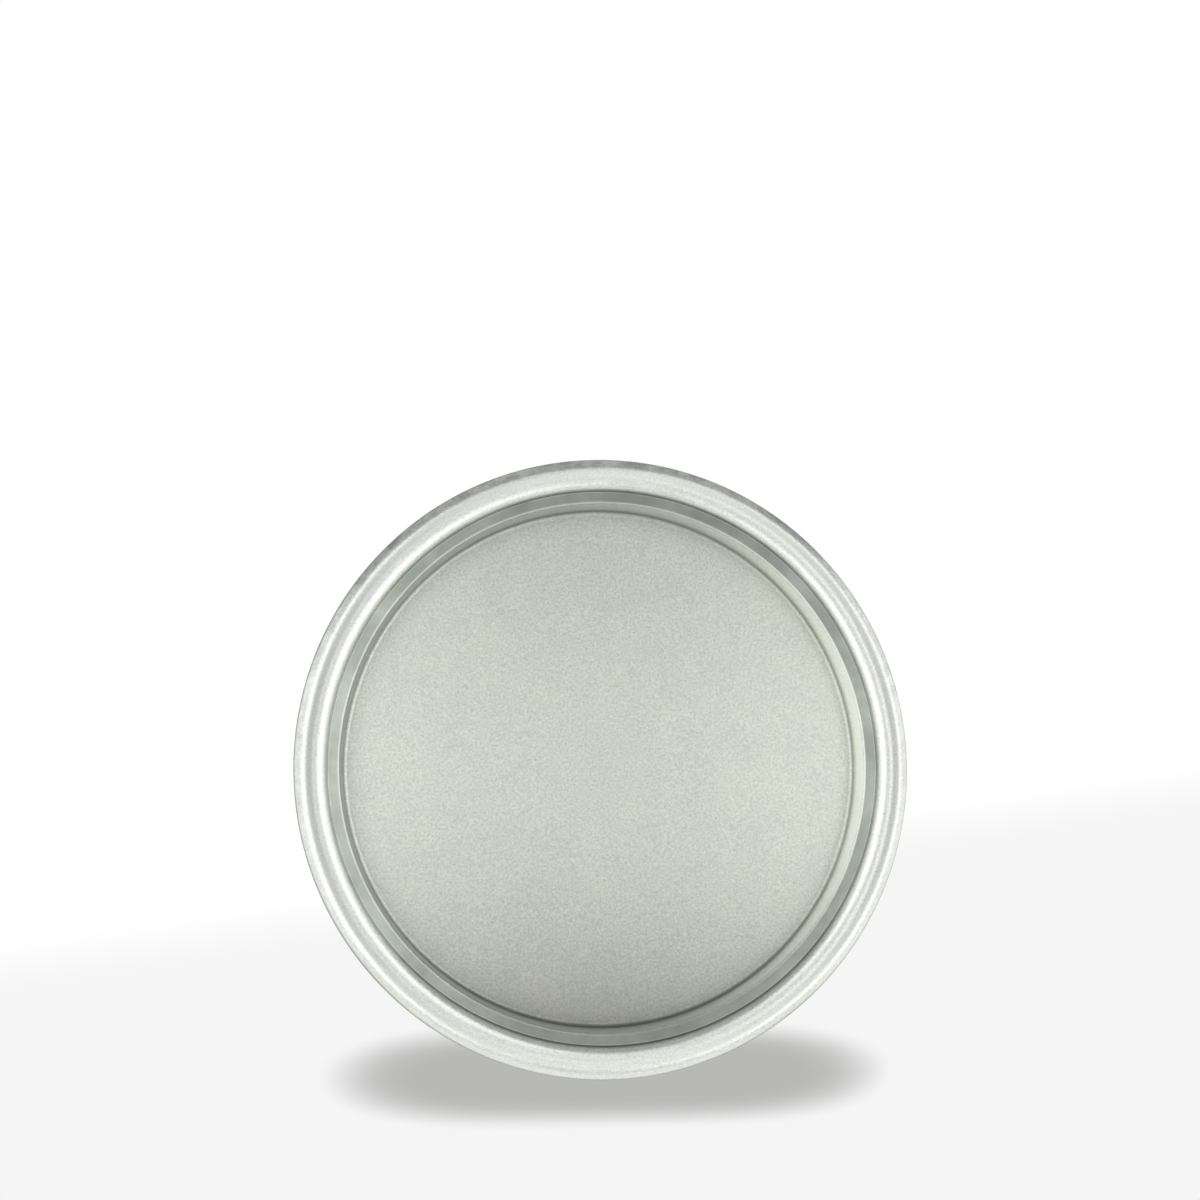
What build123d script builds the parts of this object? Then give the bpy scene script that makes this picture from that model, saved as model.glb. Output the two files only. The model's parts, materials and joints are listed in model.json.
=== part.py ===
"""Tennis ball can: a drawn steel can with an easy-open end, a plastic overcap and three balls.

+Z runs up the can's axis, and the origin is the centre of the foot rim's standing plane. Millimetres.
"""

import os
from math import cos, pi, sin, sqrt

from build123d import *

# driving dimensions: can body
body_radius = 36.7
body_wall = 0.25
panel_height = 5.5
panel_dome = 1.2
dome_radius = 29.4
panel_radius = 30.95
step_foot_radius = 31.3
ledge_height = 1.25
ledge_outer_height = 1.15
panel_corner_bend = 0.55
step_foot_bend = 0.4
ledge_radius = 32.7
crown_inner_radius = 34.4
crown_outer_radius = 34.9
rim_outer_bend = body_radius - crown_outer_radius

# driving dimensions: balls
ball_radius = 33.0
felt_thickness = 2.95
core_radius = 30.0
core_wall = 3.4
ball_gap = 0.15
seam_half_width = 1.4
seam_clearance = 0.05
seam_depth = 0.7
seam_cut_overrun = 2.0

# driving dimensions: easy-open end
end_sheet = 0.28
seam_gap = 0.05
seam_height = 3.0
body_hook_depth = 2.25
cover_hook_depth = 1.05
seam_top = 210.0
countersink_depth = 4.5
countersink_bend = 0.6
shoulder_bend = 0.55
lip_bend = 0.5
compound_room = 0.12
compound_width = 0.5
compound_thickness = 0.08
end_panel_drop = 3.0
tear_radius = 33.35
lip_radius = 33.5
recess_radius = 30.2
recess_depth = 0.6
recess_bend = 0.4

# driving dimensions: pull tab and rivet
tab_thickness = 1.5
tab_clearance = 0.12
tab_ring_y = 9.5
tab_ring_radius = 10.5
tab_nose_y = 26.1
tab_nose_radius = 6.5
finger_hole_half_width = 7.4
finger_hole_half_length = 6.4
tongue_half_width = 3.5
tongue_gap = 0.6
tongue_sheet = 0.35
tongue_clearance = 0.03
tongue_near_y = 21.4
tongue_far_y = 29.2
tongue_corner = 2.2
tab_curl = 0.7
rivet_y = 25.2
rivet_shank_radius = 1.7
rivet_head_radius = 2.6
rivet_head_height = 0.45
rivet_boss_radius = 3.0

# driving dimensions: overcap
cap_wall = 1.0
cap_clearance = 0.24
cap_skirt = 8.0
cap_lift_off_seam = 0.3
cap_plate = 0.9
cap_plate_rise = 0.35
cap_seat_radius = 35.6
cap_rim_height = 2.3
cap_rim_inner_radius = 34.2
cap_rim_chamfer = 0.8
cap_rim_slope = 0.6
cap_lip_height = 1.6
cap_lip = 0.5

# sizes worked out from the driving dimensions
end_panel_top = seam_top - end_panel_drop
recess_top = end_panel_top - recess_depth
cover_hook_inner = body_radius + seam_gap
body_hook_inner = cover_hook_inner + end_sheet + seam_gap
body_flange_bend = (body_hook_inner - body_radius) / 2
seam_radius = body_hook_inner + body_wall + seam_gap + end_sheet
hook_curl_bend = (seam_radius - cover_hook_inner) / 2
chuck_radius = body_radius - body_wall - seam_gap - end_sheet
flange_centre_height = seam_top - end_sheet - compound_room - body_flange_bend - body_wall
body_hook_tip = seam_top - body_hook_depth
cover_hook_tip = seam_top - cover_hook_depth
groove_centre = seam_top - countersink_depth + countersink_bend
curl_centre = seam_top - seam_height + hook_curl_bend
countersink_inner_radius = chuck_radius - 2 * countersink_bend
tab_bottom = end_panel_top + tab_clearance
tongue_bottom = tab_bottom + tongue_clearance
tongue_length = tongue_far_y - tongue_near_y
tongue_middle_y = (tongue_near_y + tongue_far_y) / 2
rivet_head_bottom = tongue_bottom + tongue_sheet + tongue_clearance
cap_inner_radius = seam_radius + cap_clearance
cap_outer_radius = cap_inner_radius + cap_wall
cap_under = seam_top + cap_lift_off_seam
cap_plate_under = cap_under + cap_plate_rise
cap_rim_top = seam_top + cap_rim_height
skirt_foot = seam_top - cap_skirt

os.makedirs("parts", exist_ok=True)


def save(piece, name):
    """Labels a finished piece and writes it as its own STEP file."""
    piece.part.label = name
    export_step(piece.part, f"parts/{name}.step")


# can body: the line is its outer face, from the centre of the base to the end of the body hook
with BuildPart() as can_body:
    with BuildSketch(Plane.XZ) as can_section:
        with BuildLine() as can_line:
            TangentArc((0, panel_height + panel_dome), (dome_radius, panel_height), tangent=(1, 0))
            FilletPolyline(
                (dome_radius, panel_height),
                (panel_radius, panel_height),
                (step_foot_radius, ledge_height),
                (ledge_radius, ledge_outer_height),
                radius=[panel_corner_bend, step_foot_bend],
            )
            TangentArc(
                (crown_inner_radius, 0),
                (ledge_radius, ledge_outer_height),
                tangent=(-1, 0),
            )
            Line((crown_inner_radius, 0), (crown_outer_radius, 0))
            JernArc((crown_outer_radius, 0), (1, 0), rim_outer_bend, 90)
            Line((body_radius, rim_outer_bend), (body_radius, flange_centre_height))
            JernArc((body_radius, flange_centre_height), (0, 1), body_flange_bend, -180)
            Line((body_hook_inner, flange_centre_height), (body_hook_inner, body_hook_tip))
            offset(amount=body_wall, side=Side.LEFT)
        make_face()
    revolve(axis=Axis.Z)
save(can_body, "can_body")

# end ring: the line is its upper face, from the score lip to the tip of the cover hook
with BuildPart() as end_ring:
    with BuildSketch(Plane.XZ) as end_section:
        with BuildLine() as end_line:
            Line((lip_radius, end_panel_top), (countersink_inner_radius - lip_bend, end_panel_top))
            JernArc((countersink_inner_radius - lip_bend, end_panel_top), (1, 0), lip_bend, -90)
            Line((countersink_inner_radius, end_panel_top - lip_bend), (countersink_inner_radius, groove_centre))
            JernArc((countersink_inner_radius, groove_centre), (0, -1), countersink_bend, 180)
            Line((chuck_radius, groove_centre), (chuck_radius, seam_top - shoulder_bend))
            JernArc((chuck_radius, seam_top - shoulder_bend), (0, 1), shoulder_bend, -90)
            Line((chuck_radius + shoulder_bend, seam_top), (seam_radius - shoulder_bend, seam_top))
            JernArc((seam_radius - shoulder_bend, seam_top), (1, 0), shoulder_bend, -90)
            Line((seam_radius, seam_top - shoulder_bend), (seam_radius, curl_centre))
            JernArc((seam_radius, curl_centre), (0, -1), hook_curl_bend, -180)
            Line((cover_hook_inner, curl_centre), (cover_hook_inner, cover_hook_tip))
            offset(amount=end_sheet, side=Side.RIGHT)
        make_face()
    revolve(axis=Axis.Z)
save(end_ring, "end_ring")

# sealing compound: a thin lining between the top of the body flange and the seaming panel
with BuildPart() as seam_compound:
    with BuildSketch(Plane.XZ) as compound_section:
        with Locations((body_radius + body_flange_bend, seam_top - end_sheet - compound_room / 2)):
            Rectangle(compound_width, compound_thickness)
    revolve(axis=Axis.Z)
save(seam_compound, "seam_compound")

# tear panel: a shallow dish inside the score, with the rivet button drawn up out of it
with BuildPart() as tear_panel:
    with BuildSketch(Plane.XZ) as panel_section:
        with BuildLine() as panel_line:
            FilletPolyline(
                (0, recess_top),
                (recess_radius, recess_top),
                (recess_radius + recess_depth, end_panel_top),
                (tear_radius, end_panel_top),
                radius=recess_bend,
            )
            offset(amount=end_sheet, side=Side.RIGHT)
        make_face()
    revolve(axis=Axis.Z)
    with BuildSketch(Plane.XY.offset(recess_top - end_sheet / 2)) as boss:
        with Locations((0, rivet_y)):
            Circle(rivet_boss_radius)
    extrude(amount=tab_bottom - recess_top + end_sheet / 2)
    with BuildSketch(Plane.XY.offset(recess_top)) as shank:
        with Locations((0, rivet_y)):
            Circle(rivet_shank_radius)
    extrude(amount=rivet_head_bottom - recess_top)
    with BuildSketch(Plane.XY.offset(rivet_head_bottom)) as head:
        with Locations((0, rivet_y)):
            Circle(rivet_head_radius)
    extrude(amount=rivet_head_height)
    fillet(tear_panel.edges().group_by(Axis.Z)[-1], rivet_head_height / 2)
save(tear_panel, "tear_panel")

# tongue: the flap of the tab that the rivet holds down
with BuildPart() as tab_tongue:
    with BuildSketch(Plane.XY.offset(tongue_bottom)) as tongue_outline:
        with Locations((0, tongue_middle_y)):
            RectangleRounded(2 * tongue_half_width, tongue_length, tongue_corner)
        with Locations((0, rivet_y)):
            Circle(rivet_shank_radius + seam_gap, mode=Mode.SUBTRACT)
    extrude(amount=tongue_sheet)
save(tab_tongue, "tab_tongue")

# pull tab: finger ring and nose in one curled-edge plate, with a window round the tongue
with BuildPart() as pull_tab:
    with BuildSketch(Plane.XY.offset(tab_bottom)) as tab_outline:
        with Locations((0, tab_ring_y)):
            Circle(tab_ring_radius)
        with Locations((0, tab_nose_y)):
            Circle(tab_nose_radius)
        make_hull()
        with Locations((0, tab_ring_y)):
            Ellipse(finger_hole_half_width, finger_hole_half_length, mode=Mode.SUBTRACT)
        with Locations((0, tongue_middle_y)):
            RectangleRounded(
                2 * (tongue_half_width + tongue_gap),
                tongue_length + 2 * tongue_gap,
                tongue_corner + tongue_gap,
                mode=Mode.SUBTRACT,
            )
    extrude(amount=tab_thickness)
    fillet(pull_tab.faces().sort_by(Axis.Z)[-1].outer_wire().edges(), tab_curl)
    fillet(pull_tab.faces().sort_by(Axis.Z)[0].outer_wire().edges(), tab_curl)
save(pull_tab, "pull_tab")

# overcap: a flat plate, a raised stacking rim and a skirt with a thicker lip
with BuildPart() as overcap:
    with BuildSketch(Plane.XZ) as cap_section:
        with BuildLine() as cap_line:
            Polyline(
                (0, cap_plate_under),
                (cap_seat_radius, cap_plate_under),
                (cap_seat_radius, cap_under),
                (cap_inner_radius, cap_under),
                (cap_inner_radius, skirt_foot),
                (cap_outer_radius + cap_lip, skirt_foot),
                (cap_outer_radius + cap_lip, skirt_foot + cap_lip_height),
                (cap_outer_radius, skirt_foot + cap_lip_height + cap_lip),
                (cap_outer_radius, cap_rim_top - cap_rim_chamfer),
                (cap_outer_radius - cap_rim_chamfer, cap_rim_top),
                (cap_rim_inner_radius, cap_rim_top),
                (cap_rim_inner_radius - cap_rim_slope, cap_plate_under + cap_plate),
                (0, cap_plate_under + cap_plate),
                (0, cap_plate_under),
            )
        make_face()
    revolve(axis=Axis.Z)
save(overcap, "overcap")


# ball seam: a closed curve on the sphere, x = a cos t + b cos 3t, y = a sin t - b sin 3t, z = c sin 2t
seam_a = 0.75
seam_b = 0.25
seam_c = 2 * sqrt(seam_a * seam_b)
seam_points = 32


def seam_edge(side_step, radius):
    """The seam curve moved sideways by an angle and scaled from the ball's centre to a radius."""
    points = []
    for step in range(seam_points):
        t = 2 * pi * step / seam_points
        on_seam = Vector(
            seam_a * cos(t) + seam_b * cos(3 * t),
            seam_a * sin(t) - seam_b * sin(3 * t),
            seam_c * sin(2 * t),
        )
        along = Vector(
            -seam_a * sin(t) - 3 * seam_b * sin(3 * t),
            seam_a * cos(t) - 3 * seam_b * cos(3 * t),
            2 * seam_c * cos(2 * t),
        ).normalized()
        sideways = on_seam.cross(along)
        points.append((on_seam * cos(side_step) + sideways * sin(side_step)) * radius)
    return Edge.make_spline(points, periodic=True)


def seam_cut(half_width):
    """A ruled surface through the felt along one edge of the seam."""
    side_step = half_width / ball_radius
    return Face.make_surface_from_curves(
        seam_edge(side_step, core_radius - seam_cut_overrun),
        seam_edge(side_step, ball_radius + seam_cut_overrun),
    )


def shell(outer_radius, inner_radius):
    """A hollow ball about the origin."""
    with BuildPart() as hollow:
        Sphere(outer_radius)
        Sphere(inner_radius, mode=Mode.SUBTRACT)
    return hollow.part


def nearest(solids, point):
    """The solid that comes closest to a point."""
    return min(solids, key=lambda solid: solid.distance_to(Vertex(*point)))


felt_shell = shell(ball_radius, ball_radius - felt_thickness)
seam_shell = shell(ball_radius - seam_depth, ball_radius - felt_thickness)
above = (0, 0, ball_radius)
below = (0, 0, -ball_radius)
on_curve = (ball_radius - seam_depth, 0, 0)

upper_pieces = felt_shell.split(seam_cut(seam_half_width), keep=Keep.ALL).solids()
lower_pieces = felt_shell.split(seam_cut(-seam_half_width), keep=Keep.ALL).solids()
strip_width = seam_half_width - seam_clearance
one_side = nearest(seam_shell.split(seam_cut(strip_width), keep=Keep.ALL).solids(), on_curve)
strip = nearest(one_side.split(seam_cut(-strip_width), keep=Keep.ALL).solids(), on_curve)
felt_pair = (
    min(upper_pieces, key=lambda solid: solid.volume),
    min(lower_pieces, key=lambda solid: solid.volume),
)

# balls: each stands on the one below, turned its own way
ball_turns = {"bottom": (20, -35, 0), "middle": (75, 25, 40), "top": (-30, 15, 110)}
ball_floor = panel_height + panel_dome + body_wall + ball_gap
for order, (place, turn) in enumerate(ball_turns.items()):
    centre = ball_floor + ball_radius + order * (2 * ball_radius + ball_gap)
    seat = Location((0, 0, centre), turn)
    for letter, side in (("a", 1), ("b", -1)):
        with BuildPart(mode=Mode.PRIVATE) as core_half:
            Sphere(core_radius)
            Sphere(core_radius - core_wall, mode=Mode.SUBTRACT)
            split(bisect_by=Plane.XY, keep=Keep.TOP if side > 0 else Keep.BOTTOM)
        with BuildPart() as ball_core:
            add(core_half.part.moved(seat))
        save(ball_core, f"ball_{place}_core_{letter}")
    for letter, felt in zip("ab", felt_pair):
        with BuildPart() as ball_felt:
            add(felt.moved(seat))
        save(ball_felt, f"ball_{place}_felt_{letter}")
    with BuildPart() as ball_seam:
        add(strip.moved(seat))
    save(ball_seam, f"ball_{place}_seam")
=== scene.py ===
import json
import math
import bpy
import bmesh
from mathutils import Matrix, Vector
from mathutils.kdtree import KDTree

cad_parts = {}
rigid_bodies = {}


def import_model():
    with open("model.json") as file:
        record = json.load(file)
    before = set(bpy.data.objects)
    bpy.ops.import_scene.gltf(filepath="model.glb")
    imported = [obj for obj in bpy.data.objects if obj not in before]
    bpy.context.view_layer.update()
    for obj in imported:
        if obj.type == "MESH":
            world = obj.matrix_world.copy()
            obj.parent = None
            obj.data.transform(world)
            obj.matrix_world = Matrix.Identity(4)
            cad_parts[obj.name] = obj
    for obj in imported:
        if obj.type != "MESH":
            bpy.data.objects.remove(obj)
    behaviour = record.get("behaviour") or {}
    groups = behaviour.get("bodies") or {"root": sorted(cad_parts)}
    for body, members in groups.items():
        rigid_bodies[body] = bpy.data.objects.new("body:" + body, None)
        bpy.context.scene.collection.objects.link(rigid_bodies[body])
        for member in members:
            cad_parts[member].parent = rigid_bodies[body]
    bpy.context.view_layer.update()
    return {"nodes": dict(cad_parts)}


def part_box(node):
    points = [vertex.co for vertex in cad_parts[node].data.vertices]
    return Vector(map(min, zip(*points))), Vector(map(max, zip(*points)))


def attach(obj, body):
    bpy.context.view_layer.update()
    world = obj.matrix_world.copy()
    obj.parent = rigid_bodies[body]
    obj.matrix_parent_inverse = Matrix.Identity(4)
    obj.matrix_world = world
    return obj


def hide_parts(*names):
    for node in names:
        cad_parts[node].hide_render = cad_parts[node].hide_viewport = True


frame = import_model()
scene = bpy.context.scene
mm = 0.001
print("frame loaded")


def colour(text):  # sRGB hex to linear
    parts = [int(text[i:i + 2], 16) / 255 for i in (1, 3, 5)]
    return tuple(p / 12.92 if p <= 0.04045 else ((p + 0.055) / 1.055) ** 2.4 for p in parts) + (1.0,)


def wire(tree, node, inputs):
    # each input takes a value, a socket, or a node, which gives its first live output
    for name, value in inputs.items():
        if isinstance(value, bpy.types.Node):
            value = next(s for s in value.outputs if s.enabled)
        if isinstance(value, bpy.types.NodeSocket):
            tree.links.new(value, node.inputs[name])
        else:
            node.inputs[name].default_value = value
    return node


def addNode(tree, kind, settings=None, inputs=None):
    # settings are a dictionary, or just the operation of a maths node
    node = tree.nodes.new(kind)
    if isinstance(settings, str):
        settings = {"operation": settings}
    for name, value in (settings or {}).items():
        if name == "stops":  # places and levels along a colour ramp
            band = node.color_ramp.elements
            band.remove(band[-1])
            for i, (place, level) in enumerate(value):
                stop = band.new(place) if i else band[0]
                stop.position = place
                stop.color = colour(level) if isinstance(level, str) else (level, level, level, 1)
        else:
            setattr(node, name, value)
    return wire(tree, node, inputs or {})


def newMaterial(name, constants):
    material = bpy.data.materials.new(name)
    material.use_nodes = True
    tree = material.node_tree
    tree.nodes.clear()
    shader = addNode(tree, "ShaderNodeBsdfPrincipled", {}, constants)
    addNode(tree, "ShaderNodeOutputMaterial", {}, {"Surface": shader})
    return material, tree, shader


def roundTheAxis(tree):
    # Object coordinates in mm, with the distance from the can's axis and a direction that has no join
    coords = addNode(tree, "ShaderNodeTexCoord").outputs["Object"]
    scaled = addNode(tree, "ShaderNodeVectorMath", "SCALE", {0: coords, "Scale": 1000})
    x, y, z = addNode(tree, "ShaderNodeSeparateXYZ", {}, {0: scaled}).outputs
    flat = addNode(tree, "ShaderNodeCombineXYZ", {}, {0: x, 1: y})
    radius = addNode(tree, "ShaderNodeVectorMath", "LENGTH", {0: flat}).outputs["Value"]
    facing = addNode(tree, "ShaderNodeVectorMath", "NORMALIZE", {0: flat})
    return {"coords": scaled, "x": x, "y": y, "z": z, "radius": radius, "facing": facing}


def drawnStreaks(tree, polar, turns, across):
    # noise drawn out round the axis: turns steps in a turn, across steps in a mm
    wide = addNode(tree, "ShaderNodeVectorMath", "SCALE", {0: polar["facing"], "Scale": turns})
    level = addNode(tree, "ShaderNodeMath", "ADD", {0: polar["radius"], 1: polar["z"]})
    level = addNode(tree, "ShaderNodeMath", "MULTIPLY", {0: level, 1: across})
    lift = addNode(tree, "ShaderNodeCombineXYZ", {}, {2: level})
    both = addNode(tree, "ShaderNodeVectorMath", "ADD", {0: wide, 1: lift})
    return addNode(tree, "ShaderNodeTexNoise", {},
                   {"Vector": both, "Scale": 1.0, "Detail": 4.0, "Roughness": 0.65})


# sizes of the can that several pieces share, in mm
can = {
    "radius": 36.7,
    "sheet": 0.25,
    "panelHeight": 5.5,
    "panelDome": 1.2,
    "domeRadius": 29.4,
    "panelRadius": 30.95,
    "stepFoot": 31.3,
    "ledge": 32.7,
    "ledgeHeight": 1.25,
    "rimInnerCorner": 33.16,
    "rimInnerBend": 1.67,
    "rimOuterBend": 1.8,
    "printFoot": 1.4,
    "seamTop": 210.0,
    "flangeDrop": 0.65,
    "hookReach": 0.38,
    "hookDrop": 2.25,
    "stepsRound": 384,
}


# marks of the bare base; places along a band are distances from the axis over the reach in mm
tinplate = {
    "reach": 40.0,
    # scale in steps to a mm, detail, roughness: 0.3 mm grain, 5 and 6 mm blotches, 2 mm spots on the rim's outer
    # bend
    "noises": {
        "grain": (3.6, 3.0, 0.65),
        "blotch": (0.22, 4.0, 0.55),
        "ledgeBlotch": (0.16, 3.0, 0.6),
        "outerBendNoise": (0.55, 4.0, 0.7),
    },
    "bands": {
        "rings": [(0.7725, 0.0), (0.7755, 1.0)],  # 1 outside the panel
        # painted shade: darker in the crease round the panel's edge and across the ledge's recess
        "recessShade": [(0.750, 1.0), (0.763, 0.97), (0.7695, 0.80), (0.7745, 0.84), (0.7790, 1.0), (0.7835, 1.0),
                  (0.7860, 0.66), (0.792, 0.65), (0.806, 0.66), (0.814, 0.64), (0.822, 0.90), (0.832, 1.0)],
        "stepWall": [(0.7740, 0.0), (0.7785, 1.0), (0.7835, 1.0), (0.7855, 0.0)],
        "ledge": [(0.784, 0.0), (0.790, 1.0), (0.815, 1.0), (0.824, 0.0)],
        "crown": [(0.858, 0.0), (0.867, 1.0), (0.878, 1.0), (0.887, 0.0)],
        "outerBend": [(0.880, 0.0), (0.905, 1.0)],
    },
}


def bareTinplate():
    # bare tinplate, drawn: soft grey-green metal, matte on the panel, smoothed by the die on the rim;
    # painted shade in the ledge and the creases, and painted light and shade on the panel, ledge, step wall and
    # crown
    material, tree, shader = newMaterial("bareDrawnTinplate", {"Metallic": 1.0})
    polar = roundTheAxis(tree)
    noise = {name: addNode(tree, "ShaderNodeTexNoise", {}, {
        "Vector": polar["coords"], "Scale": scale, "Detail": detail, "Roughness": roughness})
        for name, (scale, detail, roughness) in tinplate["noises"].items()}
    grain = noise["grain"]
    streaks = drawnStreaks(tree, polar, 9, 5)
    share = addNode(tree, "ShaderNodeMath", "DIVIDE", {0: polar["radius"], 1: tinplate["reach"]})
    band = {name: addNode(tree, "ShaderNodeValToRGB", {"stops": stops}, {0: share})
            for name, stops in tinplate["bands"].items()}
    tint = addNode(tree, "ShaderNodeValToRGB", {"stops": [(0.3, "#B1B5AD"), (0.7, "#B6B8AF")]},
                   {0: noise["blotch"]})
    mottle = addNode(tree, "ShaderNodeMix", {"data_type": "FLOAT"}, {0: 0.75, 2: streaks, 3: grain})
    ringTint = addNode(tree, "ShaderNodeValToRGB", {"stops": [(0.3, "#B1B4AE"), (0.7, "#D1D4CF")]}, {0: mottle})
    film = addNode(tree, "ShaderNodeMix", {"data_type": "RGBA"},
                   {0: band["ledge"], 6: ringTint, 7: colour("#BCC4B9")})
    base = addNode(tree, "ShaderNodeMix", {"data_type": "RGBA"}, {0: band["rings"], 6: tint, 7: film})
    patchy = addNode(tree, "ShaderNodeMapRange", {},
                     {0: noise["ledgeBlotch"], 1: 0.35, 2: 0.65, 3: 0.84, 4: 1.14})
    # painted shade and light on the panel: darker towards +Y and -Y, most at +Y, lighter towards +X and -X
    xSquared, ySquared = (addNode(tree, "ShaderNodeMath", "MULTIPLY", {0: way, 1: way})
                          for way in (polar["x"], polar["y"]))
    lean = addNode(tree, "ShaderNodeMapRange", {}, {0: polar["y"], 1: -30.0, 2: 30.0, 3: 0.17, 4: 0.42})
    spread = addNode(tree, "ShaderNodeMath", "DIVIDE", {0: ySquared, 1: 900.0})
    paintedPanelShade = addNode(tree, "ShaderNodeMath", "MULTIPLY", {0: spread, 1: lean})
    paintedPanelLight = addNode(tree, "ShaderNodeMath", "MULTIPLY_ADD", {0: xSquared, 1: 0.00016, 2: 0.97})
    panelLightAndShade = addNode(tree, "ShaderNodeMath", "SUBTRACT", {0: paintedPanelLight, 1: paintedPanelShade})
    speckle = addNode(tree, "ShaderNodeMapRange", {}, {0: grain, 1: 0.3, 2: 0.7, 3: 0.80, 4: 1.14})
    panelShadeTimesGrain = addNode(tree, "ShaderNodeMath", "MULTIPLY", {0: panelLightAndShade, 1: speckle})
    panelGrainAndShade = addNode(tree, "ShaderNodeMix", {"data_type": "FLOAT"}, {0: band["rings"], 2: panelShadeTimesGrain, 3: 1.0})
    # painted light and shade on the ledge, over its random blotches: darkest towards +Y and -Y, lighter towards
    # +X, lightest towards -X
    paintedLedgeLeftLight = addNode(tree, "ShaderNodeMath", "MULTIPLY_ADD", {0: polar["x"], 1: -0.0040, 2: 0.58})
    paintedLedgeSideLight = addNode(tree, "ShaderNodeMath", "MULTIPLY_ADD", {0: xSquared, 1: 0.00050, 2: paintedLedgeLeftLight})
    ledgeBlotchesAndShade = addNode(tree, "ShaderNodeMath", "MULTIPLY", {0: patchy, 1: paintedLedgeSideLight})
    patch = addNode(tree, "ShaderNodeMix", {"data_type": "FLOAT"}, {0: band["ledge"], 2: panelGrainAndShade, 3: ledgeBlotchesAndShade})
    # painted shade: the crown's colour is darker, most towards +X and -X
    paintedCrownShade = addNode(tree, "ShaderNodeMath", "MULTIPLY_ADD", {0: xSquared, 1: -0.00026, 2: -0.04})
    wearAndShade = addNode(tree, "ShaderNodeMath", "MULTIPLY_ADD", {0: band["crown"], 1: paintedCrownShade, 2: band["recessShade"]})
    # painted highlight and shade: the step wall is lighter, most towards +X, and darker towards -X
    paintedStepHighlight = addNode(tree, "ShaderNodeMath", "MULTIPLY_ADD", {0: polar["x"], 1: 0.026, 2: 0.30})
    lifted = addNode(tree, "ShaderNodeMath", "MULTIPLY_ADD", {0: band["stepWall"], 1: paintedStepHighlight, 2: wearAndShade})
    shadeHighlightAndBlotches = addNode(tree, "ShaderNodeMath", "MULTIPLY", {0: lifted, 1: patch})
    # darker and lighter spots on the rim's outer bend, strongest towards -Y
    spots = addNode(tree, "ShaderNodeMapRange", {},
                    {0: noise["outerBendNoise"], 1: 0.40, 2: 0.60, 3: 0.60, 4: 1.08})
    behind = addNode(tree, "ShaderNodeMath", {"operation": "MULTIPLY_ADD", "use_clamp": True},
                     {0: polar["y"], 1: -0.014, 2: 0.35})
    spotReach = addNode(tree, "ShaderNodeMath", "MULTIPLY", {0: band["outerBend"], 1: behind})
    outerBendSpots = addNode(tree, "ShaderNodeMix", {"data_type": "FLOAT"}, {0: spotReach, 2: 1.0, 3: spots})
    shadingAndMarks = addNode(tree, "ShaderNodeMath", "MULTIPLY", {0: shadeHighlightAndBlotches, 1: outerBendSpots})
    shade = addNode(tree, "ShaderNodeMix", {"data_type": "RGBA", "blend_type": "MULTIPLY"},
                    {0: 1.0, 6: base, 7: shadingAndMarks})
    panelRough = addNode(tree, "ShaderNodeMapRange", {}, {0: grain, 3: 0.38, 4: 0.50})
    ringRough = addNode(tree, "ShaderNodeMapRange", {}, {0: mottle, 3: 0.26, 4: 0.40})
    rough = addNode(tree, "ShaderNodeMix", {"data_type": "FLOAT"},
                    {0: band["rings"], 2: panelRough, 3: ringRough})
    scuffed = addNode(tree, "ShaderNodeMath", "MULTIPLY_ADD", {0: band["crown"], 1: 0.22, 2: rough})
    relief = addNode(tree, "ShaderNodeMix", {"data_type": "FLOAT"}, {0: band["rings"], 2: grain, 3: mottle})
    bump = addNode(tree, "ShaderNodeBump", {}, {"Strength": 0.28, "Distance": 0.0001, "Height": relief})
    wire(tree, shader, {"Base Color": shade, "Roughness": scuffed, "Normal": bump})
    return material


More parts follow.
